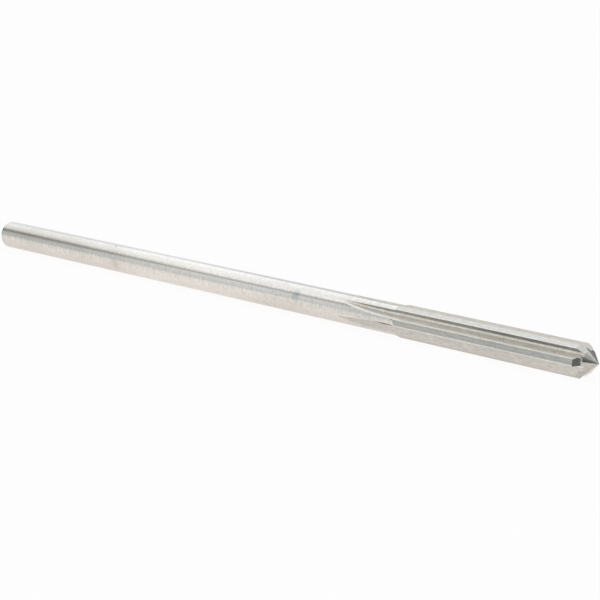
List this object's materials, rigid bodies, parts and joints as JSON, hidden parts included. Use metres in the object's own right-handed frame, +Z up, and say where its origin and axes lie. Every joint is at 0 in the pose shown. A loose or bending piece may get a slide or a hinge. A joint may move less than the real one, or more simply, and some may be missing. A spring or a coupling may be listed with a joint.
{
  "type": "reamer",
  "caption": "Straight-shank chucking reamer with straight flutes, a bevel lead and a male centre at the point, for sizing a drilled hole.",
  "frame": {"origin": "bottom centre of the box round the tool as it lies on a flat surface", "axes": "+X along the tool's axis towards its cutting end, +Z up, with one flute facing straight down"},
  "size_m": [0.0888, 0.0032, 0.003],
  "materials": {
    "ground_steel": "bright ground"
  },
  "bodies": {
    "root": {"reamer": "ground_steel"}
  },
  "joints": []
}
